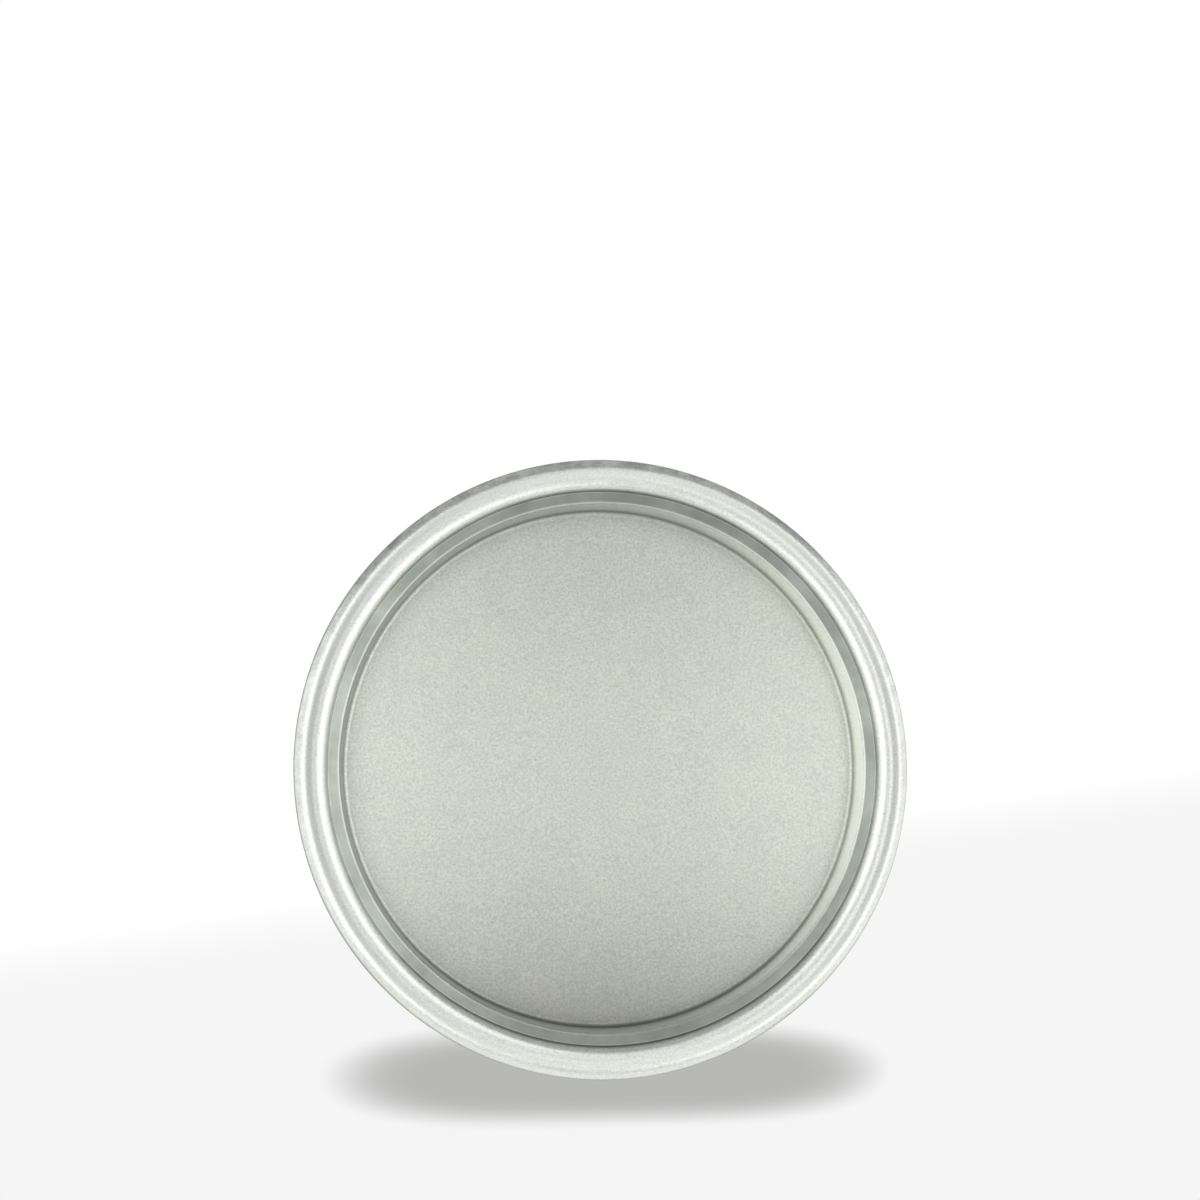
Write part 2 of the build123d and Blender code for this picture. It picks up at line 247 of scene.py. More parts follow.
def printedTinplate():
    # tinplate, roller-coated and printed outside, gold lacquer inside: claret ink over metal under a varnish,
    # with plain cream bands and a plain ball for decoration
    material, tree, shader = newMaterial(
        "printedTinplate", {"Coat Weight": 1.0, "Coat Roughness": 0.10, "Coat IOR": 1.5})
    deco = {"ballHeight": 112.0, "ballRadius": 25.0, "lineCentre": 31.0, "lineRadius": 21.0, "lineWidth": 1.1}
    polar = roundTheAxis(tree)
    # distance along the wall from the nearer of two opposite centre lines, on -Y and +Y
    minusY = addNode(tree, "ShaderNodeMath", "MULTIPLY", {0: polar["y"], 1: -1.0})
    angle = addNode(tree, "ShaderNodeMath", "ARCTAN2", {0: polar["x"], 1: minusY})
    folded = addNode(tree, "ShaderNodeMath", "ABSOLUTE", {0: angle})
    other = addNode(tree, "ShaderNodeMath", "SUBTRACT", {0: math.pi, 1: folded})
    nearer = addNode(tree, "ShaderNodeMath", "MINIMUM", {0: folded, 1: other})
    along = addNode(tree, "ShaderNodeMath", "MULTIPLY", {0: nearer, 1: can["radius"]})
    spot = addNode(tree, "ShaderNodeCombineXYZ", {}, {0: along, 1: polar["z"]})
    toBall = addNode(tree, "ShaderNodeVectorMath", "DISTANCE",
                     {0: spot, 1: (0, deco["ballHeight"], 0)}).outputs["Value"]
    toLine = addNode(tree, "ShaderNodeVectorMath", "DISTANCE",
                     {0: spot, 1: (deco["lineCentre"], deco["ballHeight"], 0)}).outputs["Value"]
    onBall = addNode(tree, "ShaderNodeMath", "LESS_THAN", {0: toBall, 1: deco["ballRadius"]})
    onLine = addNode(tree, "ShaderNodeMath", "COMPARE",
                     {0: toLine, 1: deco["lineRadius"], 2: deco["lineWidth"]})
    share = addNode(tree, "ShaderNodeMath", "DIVIDE", {0: polar["z"], 1: 210.0})
    ground = addNode(tree, "ShaderNodeValToRGB", {"stops": [
        (0.0, "#4A1B16"), (0.100, "#E6DCC2"), (0.116, "#4A1B16"), (0.124, "#C4CF3A"), (0.130, "#571F1A"),
        (0.840, "#C4CF3A"), (0.846, "#4A1B16"), (0.854, "#E6DCC2"), (0.870, "#4A1B16")]}, {0: share})
    ground.color_ramp.interpolation = "CONSTANT"
    # ink takes unevenly over about 2 mm
    uneven = addNode(tree, "ShaderNodeTexNoise", {}, {"Vector": polar["coords"], "Scale": 0.5, "Detail": 5.0})
    ink = addNode(tree, "ShaderNodeMapRange", {}, {0: uneven, 1: 0.3, 2: 0.7, 3: 0.86, 4: 1.10})
    withBall = addNode(tree, "ShaderNodeMix", {"data_type": "RGBA"},
                       {0: onBall, 6: ground, 7: colour("#C4CF3A")})
    onBoth = addNode(tree, "ShaderNodeMath", "MULTIPLY", {0: onBall, 1: onLine})
    withLine = addNode(tree, "ShaderNodeMix", {"data_type": "RGBA"},
                       {0: onBoth, 6: withBall, 7: colour("#EFEBDD")})
    printed = addNode(tree, "ShaderNodeMix", {"data_type": "RGBA", "blend_type": "MULTIPLY"},
                      {0: 1.0, 6: withLine, 7: ink})
    # scratches through the ink: thin lines up the can
    stretched = addNode(tree, "ShaderNodeMapping", {}, {"Vector": polar["coords"], "Scale": (2.2, 2.2, 0.12)})
    scratch = addNode(tree, "ShaderNodeTexNoise", {}, {"Vector": stretched, "Scale": 1.0, "Detail": 2.0})
    wearAndShade = addNode(tree, "ShaderNodeValToRGB", {"stops": [(0.730, 0.0), (0.76, 0.35)]}, {0: scratch})
    outside = addNode(tree, "ShaderNodeMath", "GREATER_THAN",
                      {0: polar["radius"], 1: can["radius"] - can["sheet"] / 2})
    wornPrint = addNode(tree, "ShaderNodeMix", {"data_type": "RGBA"},
                        {0: wearAndShade, 6: printed, 7: colour("#A9A79C")})
    lacquer = addNode(tree, "ShaderNodeMix", {"data_type": "RGBA"},
                      {0: uneven, 6: colour("#B49B5E"), 7: colour("#C6B27C")})
    shade = addNode(tree, "ShaderNodeMix", {"data_type": "RGBA"}, {0: outside, 6: lacquer, 7: wornPrint})
    metal = addNode(tree, "ShaderNodeMapRange", {}, {0: outside, 3: 0.95, 4: 0.40})
    rough = addNode(tree, "ShaderNodeMapRange", {}, {0: uneven, 3: 0.24, 4: 0.40})
    bump = addNode(tree, "ShaderNodeBump", {}, {"Strength": 0.08, "Distance": 0.0001, "Height": uneven})
    wire(tree, shader, {"Base Color": shade, "Metallic": metal, "Roughness": rough, "Normal": bump})
    return material


def rolledAluminium():
    # coated end stock: rolled aluminium with fine rolling lines along Y, under a clear baked lacquer
    material, tree, shader = newMaterial(
        "lacqueredRolledAluminium", {"Metallic": 1.0, "Coat Weight": 0.35, "Coat Roughness": 0.18})
    polar = roundTheAxis(tree)
    stretched = addNode(tree, "ShaderNodeMapping", {}, {"Vector": polar["coords"], "Scale": (5.0, 0.10, 5.0)})
    lines = addNode(tree, "ShaderNodeTexNoise", {}, {"Vector": stretched, "Scale": 1.0, "Detail": 4.0})
    cloud = addNode(tree, "ShaderNodeTexNoise", {}, {"Vector": polar["coords"], "Scale": 0.12, "Detail": 3.0})
    tint = addNode(tree, "ShaderNodeValToRGB", {"stops": [(0.3, "#CFCEC8"), (0.7, "#E2E1DC")]}, {0: lines})
    haze = addNode(tree, "ShaderNodeMapRange", {}, {0: cloud, 1: 0.3, 2: 0.7, 3: 0.92, 4: 1.03})
    shade = addNode(tree, "ShaderNodeMix", {"data_type": "RGBA", "blend_type": "MULTIPLY"},
                    {0: 1.0, 6: tint, 7: haze})
    rough = addNode(tree, "ShaderNodeMapRange", {}, {0: lines, 3: 0.22, 4: 0.38})
    bump = addNode(tree, "ShaderNodeBump", {}, {"Strength": 0.10, "Distance": 0.0001, "Height": lines})
    wire(tree, shader, {"Base Color": shade, "Roughness": rough, "Normal": bump})
    return material


def grainyFinish(name, constants, grainScale, detail, tints, roughRange, relief=None):
    # one noise, with grainScale steps to a mm, drives the tint, the roughness and the relief
    material, tree, shader = newMaterial(name, constants)
    polar = roundTheAxis(tree)
    grain = addNode(tree, "ShaderNodeTexNoise", {},
                    {"Vector": polar["coords"], "Scale": grainScale, "Detail": detail})
    tint = addNode(tree, "ShaderNodeValToRGB", {"stops": [(0.3, tints[0]), (0.7, tints[1])]}, {0: grain})
    rough = addNode(tree, "ShaderNodeMapRange", {}, {0: grain, **roughRange})
    wire(tree, shader, {"Base Color": tint, "Roughness": rough})
    if relief:
        wire(tree, shader, {"Normal": addNode(tree, "ShaderNodeBump", {}, {
            "Strength": relief[0], "Distance": relief[1], "Height": grain})})
    return material


def capPolyethylene():
    # low-density polyethylene, injection moulded: milky and waxy, with flow clouds out from the gate
    material, tree, shader = newMaterial(
        "mouldedPolyethylene", {"IOR": 1.51, "Transmission Weight": 0.30, "Subsurface Weight": 0.15,
                                "Subsurface Radius": (0.002, 0.002, 0.002), "Subsurface Scale": 1.0})
    polar = roundTheAxis(tree)
    flow = addNode(tree, "ShaderNodeTexNoise", {}, {"Vector": polar["coords"], "Scale": 0.10, "Detail": 3.0})
    skin = addNode(tree, "ShaderNodeTexNoise", {}, {"Vector": polar["coords"], "Scale": 2.2, "Detail": 4.0})
    tint = addNode(tree, "ShaderNodeValToRGB", {"stops": [(0.3, "#DDE0DC"), (0.7, "#EDEFEB")]}, {0: flow})
    rough = addNode(tree, "ShaderNodeMapRange", {}, {0: skin, 3: 0.30, 4: 0.46})
    bump = addNode(tree, "ShaderNodeBump", {}, {"Strength": 0.10, "Distance": 0.0001, "Height": skin})
    wire(tree, shader, {"Base Color": tint, "Roughness": rough, "Normal": bump})
    return material


def needledFelt():
    # wool and nylon felt, needled and dyed optic yellow: matte nap, paler at the fibre tips
    material, tree, shader = newMaterial(
        "needledYellowFelt", {"Sheen Weight": 0.5, "Sheen Roughness": 0.5, "Sheen Tint": colour("#E6F08C")})
    polar = roundTheAxis(tree)
    # matted clumps about 2 mm across, and single fibres drawn coarser than the real 0.02 mm
    clump = addNode(tree, "ShaderNodeTexNoise", {}, {"Vector": polar["coords"], "Scale": 0.5, "Detail": 4.0})
    fibre = addNode(tree, "ShaderNodeTexNoise", {},
                    {"Vector": polar["coords"], "Scale": 3.2, "Detail": 6.0, "Roughness": 0.7, "Distortion": 1.2})
    mixed = addNode(tree, "ShaderNodeMix", {"data_type": "FLOAT"}, {0: 0.55, 2: clump, 3: fibre})
    tint = addNode(tree, "ShaderNodeValToRGB",
                   {"stops": [(0.30, "#98AB1C"), (0.52, "#C2D42E"), (0.72, "#DCE85E")]}, {0: mixed})
    bump = addNode(tree, "ShaderNodeBump", {}, {"Strength": 0.7, "Distance": 0.0004, "Height": mixed})
    wire(tree, shader, {"Base Color": tint, "Roughness": 0.95, "Normal": bump})
    return material


finish = {
    "tin": bareTinplate(),
    "print": printedTinplate(),
    "end": rolledAluminium(),
    # bright aluminium strip, curled by a die: shinier than the end, with small handling marks
    "tab": grainyFinish("curledTabAluminium", {"Metallic": 1.0}, 1.6, 5.0, ("#DEDEDC", "#E9E9E7"),
                        {1: 0.25, 2: 0.75, 3: 0.20, 4: 0.29}, (0.03, 0.0001)),
    # water-based sealing rubber, flowed in and dried: dull grey with a slight grain
    "compound": grainyFinish("driedSealingRubber", {}, 3.0, 3.0, ("#8B908E", "#A2A6A4"), {3: 0.65, 4: 0.85}),
    "cap": capPolyethylene(),
    "felt": needledFelt(),
    # moulded natural rubber: dull, with a fine mould texture
    "core": grainyFinish("mouldedCoreRubber", {}, 1.8, 5.0, ("#1D1D1C", "#31302E"), {3: 0.60, 4: 0.82},
                         (0.25, 0.0002)),
    "seam": grainyFinish("curedSeamRubber", {}, 1.8, 5.0, ("#CFCFC0", "#E4E4D8"), {3: 0.60, 4: 0.82},
                         (0.25, 0.0002)),
}
print("finishes made")


def roundedLine(corners, bendStep=8):
    # corners: radius, height and bend radius in mm; each bend becomes an arc in steps of bendStep degrees
    points = []
    for i, (r, z, bend) in enumerate(corners):
        here = Vector((r, z))
        if i in (0, len(corners) - 1) or bend == 0:
            points.append(here)
            continue
        back = (Vector(corners[i - 1][:2]) - here).normalized()
        ahead = (Vector(corners[i + 1][:2]) - here).normalized()
        half = back.angle(ahead) / 2
        centre = here + (back + ahead).normalized() * bend / math.sin(half)
        start = here + back * bend / math.tan(half) - centre
        turn = math.pi - 2 * half
        side = 1 if ahead.x * back.y - ahead.y * back.x > 0 else -1  # a left turn goes anticlockwise
        count = max(2, math.ceil(math.degrees(turn) / bendStep))
        for k in range(count + 1):
            a = side * turn * k / count
            points.append(centre + Vector((start.x * math.cos(a) - start.y * math.sin(a),
                                           start.x * math.sin(a) + start.y * math.cos(a))))
    return points


def shortRuns(points, longest):  # divides long straight runs
    result = []
    for a, b in zip(points, points[1:]):
        steps = max(1, math.ceil((b - a).length / longest))
        result += [a.lerp(b, k / steps) for k in range(steps)]
    return result + [points[-1]]


def sheetLoop(line, thickness):  # a line and its parallel on the left, as one closed loop
    beside = []
    for i, point in enumerate(line):
        along = (line[min(i + 1, len(line) - 1)] - line[max(i - 1, 0)]).normalized()
        beside.append(point + Vector((-along.y, along.x)) * thickness)
    return list(line) + beside[::-1]


def newTree(name, inputs):
    # a Geometry Nodes tree with named inputs, which takes a geometry and gives one
    tree = bpy.data.node_groups.new(name, "GeometryNodeTree")
    for label, kind in {"Geometry": "Geometry", **inputs}.items():
        tree.interface.new_socket(label, in_out="INPUT", socket_type="NodeSocket" + kind)
    tree.interface.new_socket("Geometry", in_out="OUTPUT", socket_type="NodeSocketGeometry")
    return tree, addNode(tree, "NodeGroupInput").outputs


def finishTree(tree, geometry, material):
    real = addNode(tree, "GeometryNodeRealizeInstances", {}, {"Geometry": geometry})
    coated = addNode(tree, "GeometryNodeSetMaterial", {}, {"Geometry": real, "Material": material})
    addNode(tree, "NodeGroupOutput", {}, {"Geometry": coated})
    return tree


def turnedSheet():
    # the object's own vertices, in order, are an outline that is turned round Z
    tree, given = newTree("turnedSheet", {"Steps round": "Int", "Finish": "Material"})
    count = addNode(tree, "GeometryNodeAttributeDomainSize", {"component": "MESH"}, {0: given["Geometry"]})
    columns = addNode(tree, "ShaderNodeMath", "ADD", {0: given["Steps round"], 1: 1.0})
    grid = addNode(tree, "GeometryNodeMeshGrid", {},
                   {"Vertices X": count.outputs["Point Count"], "Vertices Y": columns})
    index = addNode(tree, "GeometryNodeInputIndex")
    nudged = addNode(tree, "ShaderNodeMath", "ADD", {0: index, 1: 0.5})
    rows = addNode(tree, "ShaderNodeMath", "DIVIDE", {0: nudged, 1: columns})
    row = addNode(tree, "ShaderNodeMath", "FLOOR", {0: rows})
    before = addNode(tree, "ShaderNodeMath", "MULTIPLY", {0: row, 1: columns})
    column = addNode(tree, "ShaderNodeMath", "SUBTRACT", {0: index, 1: before})
    sample = addNode(tree, "GeometryNodeSampleIndex", {"data_type": "FLOAT_VECTOR", "domain": "POINT"},
                     {"Geometry": given["Geometry"], "Value": addNode(tree, "GeometryNodeInputPosition"),
                      "Index": row})
    share = addNode(tree, "ShaderNodeMath", "DIVIDE", {0: column, 1: given["Steps round"]})
    turn = addNode(tree, "ShaderNodeMath", "MULTIPLY", {0: share, 1: 2 * math.pi})
    around = addNode(tree, "ShaderNodeVectorRotate", {"rotation_type": "Z_AXIS"},
                     {"Vector": sample, "Angle": turn})
    moved = addNode(tree, "GeometryNodeSetPosition", {}, {"Geometry": grid.outputs["Mesh"], "Position": around})
    merged = addNode(tree, "GeometryNodeMergeByDistance", {}, {"Geometry": moved, "Distance": 2e-6})
    smooth = addNode(tree, "GeometryNodeSetShadeSmooth", {}, {"Geometry": merged})
    return finishTree(tree, smooth, given["Finish"])


def grown(name, mesh, tree, values):
    # runs a Geometry Nodes tree on a mesh and keeps the result as a plain mesh object
    holder = bpy.data.objects.new(name, mesh)
    scene.collection.objects.link(holder)
    modifier = holder.modifiers.new("grow", "NODES")
    modifier.node_group = tree
    for item in tree.interface.items_tree:
        if item.item_type == "SOCKET" and item.in_out == "INPUT" and item.name in values:
            modifier[item.identifier] = values[item.name]
    bpy.context.view_layer.update()
    result = bpy.data.meshes.new_from_object(holder.evaluated_get(bpy.context.evaluated_depsgraph_get()))
    bpy.data.objects.remove(holder)
    result.name = name
    piece = bpy.data.objects.new(name, result)
    scene.collection.objects.link(piece)
    return piece


def outwards(piece, sharp=40):
    work = bmesh.new()
    work.from_mesh(piece.data)
    if work.calc_volume(signed=True) < 0:
        bmesh.ops.reverse_faces(work, faces=work.faces)
    work.to_mesh(piece.data)
    work.free()
    piece.data.set_sharp_from_angle(angle=math.radians(sharp))
    return piece


turning = turnedSheet()


def turned(name, loop, material, stepsRound=256):
    # loop: a closed outline in mm, or an open one that starts and ends on the axis
    outline = [Vector((p.x * mm, 0, p.y * mm)) for p in loop]
    if loop[0].x > 1e-6 or loop[-1].x > 1e-6:
        outline.append(outline[0].copy())
    mesh = bpy.data.meshes.new(name)
    mesh.from_pydata(outline, [(i, i + 1) for i in range(len(outline) - 1)], [])
    return outwards(grown(name, mesh, turning, {"Steps round": stepsRound, "Finish": material}))


def place(piece, body, slot, *nodes):
    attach(piece, body)
    if nodes:
        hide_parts(*nodes)
    return piece


# can body: one drawn sheet, split at the edge of the print into a bare base and a printed wall
dome = [(can["domeRadius"] * k / 12,
         can["panelHeight"] + can["panelDome"] * (1 - (k / 12) ** 2), 0) for k in range(12)]
flangeTop = can["seamTop"] - can["flangeDrop"]
bodyLine = roundedLine(dome + [
    (can["domeRadius"], can["panelHeight"], 0),
    (can["panelRadius"], can["panelHeight"], 0.55),
    (can["stepFoot"], can["ledgeHeight"], 0.4),
    (can["ledge"], can["ledgeHeight"] - 0.1, 0.05),
    (can["rimInnerCorner"], 0, can["rimInnerBend"]),
    (can["radius"], 0, can["rimOuterBend"]),
    (can["radius"], flangeTop, 0.19),
    (can["radius"] + can["hookReach"], flangeTop, 0.19),
    (can["radius"] + can["hookReach"], can["seamTop"] - can["hookDrop"], 0),
])
printStart = next(i for i, p in enumerate(bodyLine) if p.x > 36 and p.y > can["printFoot"])
base = turned("canBase", sheetLoop(shortRuns(bodyLine[:printStart + 1], 2.0), can["sheet"]),
              finish["tin"], can["stepsRound"])
place(base, "can", "bare_tinplate", "can_body")
wall = turned("canWall", sheetLoop(shortRuns(bodyLine[printStart:], 12.0), can["sheet"]),
              finish["print"], can["stepsRound"])
place(wall, "can", "bare_tinplate", "can_body")
print("can body made", len(base.data.vertices), len(wall.data.vertices))

# easy-open end: the ring that is seamed on, and the panel inside the score; heights are below the seam's top
end = {
    "sheet": 0.28,
    "hookRadius": 36.75,
    "hookDrop": 1.05,
    "seamRadius": 37.66,
    "seamDrop": 3.0,
    "innerWall": 36.12,
    "grooveDrop": 4.5,
    "grooveInner": 34.92,
    "panelDrop": 3.0,
    "ringInner": 33.5,
    "tearRadius": 33.35,
    "recessEdge": (30.8, 30.2),
    "recessDrop": 3.6,
    "beadInner": 27.6,
    "beadRise": 0.35,
    "rivetY": 25.2,
    # outline of the rivet button: radius, height over the recess, bend
    "rivet": [(0, -0.2, 0), (3.3, -0.2, 0), (3.25, 0.05, 0.05), (2.9, 0.72, 0.25), (1.7, 0.72, 0.05),
              (1.7, 1.13, 0.05), (2.6, 1.13, 0.1), (2.5, 1.58, 0.25), (1.2, 1.58, 0.2), (0.9, 1.42, 0.15),
              (0, 1.42, 0)],
}
top = can["seamTop"]
panelTop = top - end["panelDrop"]
recessTop = top - end["recessDrop"]
ringLine = roundedLine([
    (end["hookRadius"], top - end["hookDrop"], 0), (end["hookRadius"], top - end["seamDrop"], 0.455),
    (end["seamRadius"], top - end["seamDrop"], 0.455), (end["seamRadius"], top, 0.55),
    (end["innerWall"], top, 0.55), (end["innerWall"], top - end["grooveDrop"], 0.6),
    (end["grooveInner"], top - end["grooveDrop"], 0.6), (end["grooveInner"], panelTop, 0.5),
    (end["ringInner"], panelTop, 0)])
ring = turned("endRing", sheetLoop(ringLine, end["sheet"]), finish["end"], 320)
place(ring, "can", "end_aluminium", "end_ring")
bead = end["beadInner"]
panelLine = roundedLine([
    (end["tearRadius"], panelTop, 0), (end["recessEdge"][0], panelTop, 0.4),
    (end["recessEdge"][1], recessTop, 0.4),
    (bead + 1.6, recessTop, 0.3), (bead + 1.2, recessTop + end["beadRise"], 0.3),
    (bead + 0.4, recessTop + end["beadRise"], 0.3), (bead, recessTop, 0.3), (0, recessTop, 0)])
panel = turned("tearPanel", sheetLoop(shortRuns(panelLine, 3.0), end["sheet"]), finish["end"], 320)
place(panel, "panel", "end_aluminium", "tear_panel")
rivetLine = roundedLine([(radius, recessTop + height, bend) for radius, height, bend in end["rivet"]])
rivet = turned("rivetButton", rivetLine, finish["end"], 64)
rivet.data.transform(Matrix.Translation((0, end["rivetY"] * mm, 0)))
place(rivet, "panel", "end_aluminium", "tear_panel")
print("end made")

# pull tab: a curled edge round the outside and the finger hole, with a thin web between
tab = {
    "ringY": 9.5,
    "noseY": 26.1,
    "edgeCurl": 0.75,
    "holeCurl": 0.6,
    "ringRadius": 10.5,
    "noseRadius": 6.5,
    "holeHalf": (7.4, 6.4),
    "windowHalf": 4.1,
    "windowY": (20.8, 29.8),
    "windowCorner": 2.8,
    "web": 0.4,
    "lift": 0.12,
    "tongueHalf": 3.5,
    "tongueY": (21.4, 29.2),
    "tongueCorner": 2.2,
    "tongueSheet": 0.35,
    "tongueLift": 0.15,
    "rivetHole": 1.75,
}


def arcPoints(centre, radii, first, last, steps):
    return [(centre[0] + radii[0] * math.cos(first + (last - first) * k / steps),
             centre[1] + radii[1] * math.sin(first + (last - first) * k / steps)) for k in range(steps + 1)]


def roundedWindow(half, low, high, corner):
    points = []
    for sx, sy, first in ((1, 1, 0), (-1, 1, 90), (-1, -1, 180), (1, -1, 270)):
        centre = (sx * (half - corner), high - corner if sy > 0 else low + corner)
        points += arcPoints(centre, (corner, corner), math.radians(first), math.radians(first + 90), 6)
    return points


def curveMesh(name, loops, height, depth=0.0, roundEdge=0.0, flat=True):
    # loops of (x, y) in mm, filled flat with their holes, or swept by a round edge where flat is False
    curve = bpy.data.curves.new(name, "CURVE")
    curve.dimensions = "2D" if flat else "3D"
    if flat:
        curve.fill_mode = "BOTH"
    curve.extrude = depth * mm / 2
    curve.bevel_depth = roundEdge * mm
    curve.bevel_resolution = 4 if not flat else 1
    for loop in loops:
        spline = curve.splines.new("POLY")
        spline.points.add(len(loop) - 1)
        for point, (x, y) in zip(spline.points, loop):
            point.co = (x * mm, y * mm, 0, 1)
        spline.use_cyclic_u = True
    holder = bpy.data.objects.new(name, curve)
    scene.collection.objects.link(holder)
    bpy.context.view_layer.update()
    mesh = bpy.data.meshes.new_from_object(holder.evaluated_get(bpy.context.evaluated_depsgraph_get()))
    bpy.data.objects.remove(holder)
    mesh.transform(Matrix.Translation((0, 0, height * mm)))
    return mesh


def joined(name, meshes, material):
    work = bmesh.new()
    for mesh in meshes:
        work.from_mesh(mesh)
    bmesh.ops.remove_doubles(work, verts=work.verts, dist=1e-6)
    bmesh.ops.recalc_face_normals(work, faces=work.faces)
    result = bpy.data.meshes.new(name)
    work.to_mesh(result)
    work.free()
    result.materials.clear()
    result.materials.append(material)
    for face in result.polygons:
        face.material_index = 0
        face.use_smooth = True
    result.set_sharp_from_angle(angle=math.radians(40))
    piece = bpy.data.objects.new(name, result)
    scene.collection.objects.link(piece)
    return piece


inset = tab["edgeCurl"]
big, small = tab["ringRadius"] - inset, tab["noseRadius"] - inset
lean = math.asin((big - small) / (tab["noseY"] - tab["ringY"]))
outline = (arcPoints((0, tab["noseY"]), (small, small), lean, math.pi - lean, 24)
           + arcPoints((0, tab["ringY"]), (big, big), math.pi - lean, 2 * math.pi + lean, 44))
holeX, holeY = (half + tab["holeCurl"] for half in tab["holeHalf"])
hole = arcPoints((0, tab["ringY"]), (holeX, holeY), 0, 2 * math.pi, 48)[:-1]
window = roundedWindow(tab["windowHalf"], *tab["windowY"], tab["windowCorner"])
middle = panelTop + tab["lift"] + tab["edgeCurl"]
pullTab = joined("pullTab", [
    curveMesh("tabEdge", [outline], middle, roundEdge=tab["edgeCurl"], flat=False),
    curveMesh("tabHoleEdge", [hole], middle, roundEdge=tab["holeCurl"], flat=False),
    curveMesh("tabWeb", [outline, hole, window], middle, depth=tab["web"]),
], finish["tab"])
place(pullTab, "tab", "tab_aluminium", "pull_tab")
tongue = roundedWindow(tab["tongueHalf"], *tab["tongueY"], tab["tongueCorner"])
rivetHole = arcPoints((0, end["rivetY"]), (tab["rivetHole"], tab["rivetHole"]), 0, 2 * math.pi, 32)[:-1]
tonguePlate = joined("tabTongue", [curveMesh(
    "tongue", [tongue, rivetHole], panelTop + tab["tongueLift"] + tab["tongueSheet"] / 2,
    depth=tab["tongueSheet"])], finish["tab"])
place(tonguePlate, "panel", "tab_aluminium", "tab_tongue")
print("tab made")

# overcap: moulded plate with a stacking rim, a skirt with a thicker lip, and fine grip ribs
cap = {
    "inner": 37.9,
    "outer": 38.9,
    "lip": 39.4,
    "skirtFoot": top - 8.0,
    "rimTop": top + 2.3,
    "rimInner": 34.2,
    "rimFoot": 33.6,
    "plateTop": top + 1.55,
    "plateUnder": top + 0.65,
    "roofRadius": 35.6,
    "roof": top + 0.3,
    "groove": (13.0, 11.8),
    "grooveDepth": 0.15,
    "gateRadius": 1.6,
    "gateHeight": 0.18,
    "ribs": 128,
    "ribWidth": 0.9,
    "ribProud": 0.2,
    "ribFoot": top - 5.4,
    "ribTop": top + 1.0,
}
plate = cap["plateTop"]
grooveFloor = plate - cap["grooveDepth"]
gateTop = plate + cap["gateHeight"]
capLine = roundedLine([
    (0, cap["plateUnder"], 0), (cap["roofRadius"], cap["plateUnder"], 0.15),
    (cap["roofRadius"], cap["roof"], 0.15), (cap["inner"], cap["roof"], 0.3),
    (cap["inner"], cap["skirtFoot"], 0.25), (cap["lip"], cap["skirtFoot"], 0.35),
    (cap["lip"], cap["skirtFoot"] + 1.6, 0.35), (cap["outer"], cap["skirtFoot"] + 2.1, 0.25),
    (cap["outer"], cap["rimTop"] - 0.8, 0.5), (cap["outer"] - 0.8, cap["rimTop"], 0.5),
    (cap["rimInner"], cap["rimTop"], 0.2), (cap["rimFoot"], plate, 0.3),
    (cap["groove"][0], plate, 0.15), (cap["groove"][0] - 0.3, grooveFloor, 0.1),
    (cap["groove"][1] + 0.3, grooveFloor, 0.1), (cap["groove"][1], plate, 0.15),
    (cap["gateRadius"], plate, 0.1), (cap["gateRadius"] - 0.3, gateTop, 0.1), (0, gateTop, 0)])
lid = turned("mouldedOvercap", shortRuns(capLine, 4.0), finish["cap"], 320)
place(lid, "cap", "cap_polyethylene", "overcap")


def ribRing():
    # upright half-round ribs set round a circle
    tree, given = newTree("ribRing", {
        "Count": "Int", "Radius": "Float", "Height": "Float", "Length": "Float", "Rib radius": "Float",
        "Finish": "Material"})
    circle = addNode(tree, "GeometryNodeMeshCircle", {},
                     {"Vertices": given["Count"], "Radius": given["Radius"]})
    lift = addNode(tree, "ShaderNodeCombineXYZ", {}, {2: given["Height"]})
    lifted = addNode(tree, "GeometryNodeSetPosition", {}, {"Geometry": circle, "Offset": lift})
    rib = addNode(tree, "GeometryNodeMeshCylinder", {},
                  {"Vertices": 12, "Radius": given["Rib radius"], "Depth": given["Length"]})
    ribs = addNode(tree, "GeometryNodeInstanceOnPoints", {},
                   {"Points": lifted, "Instance": rib.outputs["Mesh"]})
    return finishTree(tree, ribs, given["Finish"])


ribRadius = cap["ribWidth"] / 2
ribs = outwards(grown("capGripRibs", bpy.data.meshes.new("ribs"), ribRing(), {
    "Count": cap["ribs"],
    "Radius": (cap["outer"] + cap["ribProud"] - ribRadius) * mm,
    "Height": (cap["ribFoot"] + cap["ribTop"]) / 2 * mm,
    "Length": (cap["ribTop"] - cap["ribFoot"]) * mm,
    "Rib radius": ribRadius * mm,
    "Finish": finish["cap"]}))
place(ribs, "cap", "cap_polyethylene", "overcap")
print("overcap made")

# balls: two felt panels each, cut along the seam curve, over the core and seam of the frame
ball = {
    "radius": 33.0,
    "feltInside": 30.05,
    "seamHalf": 1.4,
    "edge": 1.0,
    "gap": 0.15,
    "turns": {"bottom": (20, -35, 0), "middle": (75, 25, 40), "top": (-30, 15, 110)},
    "napReach": 0.983,  # share of the radius, up and down, that the nap covers
    "fibres": 1.35e6,
    "fibreLength": 0.75,
    "fibreThickness": 0.13,
}


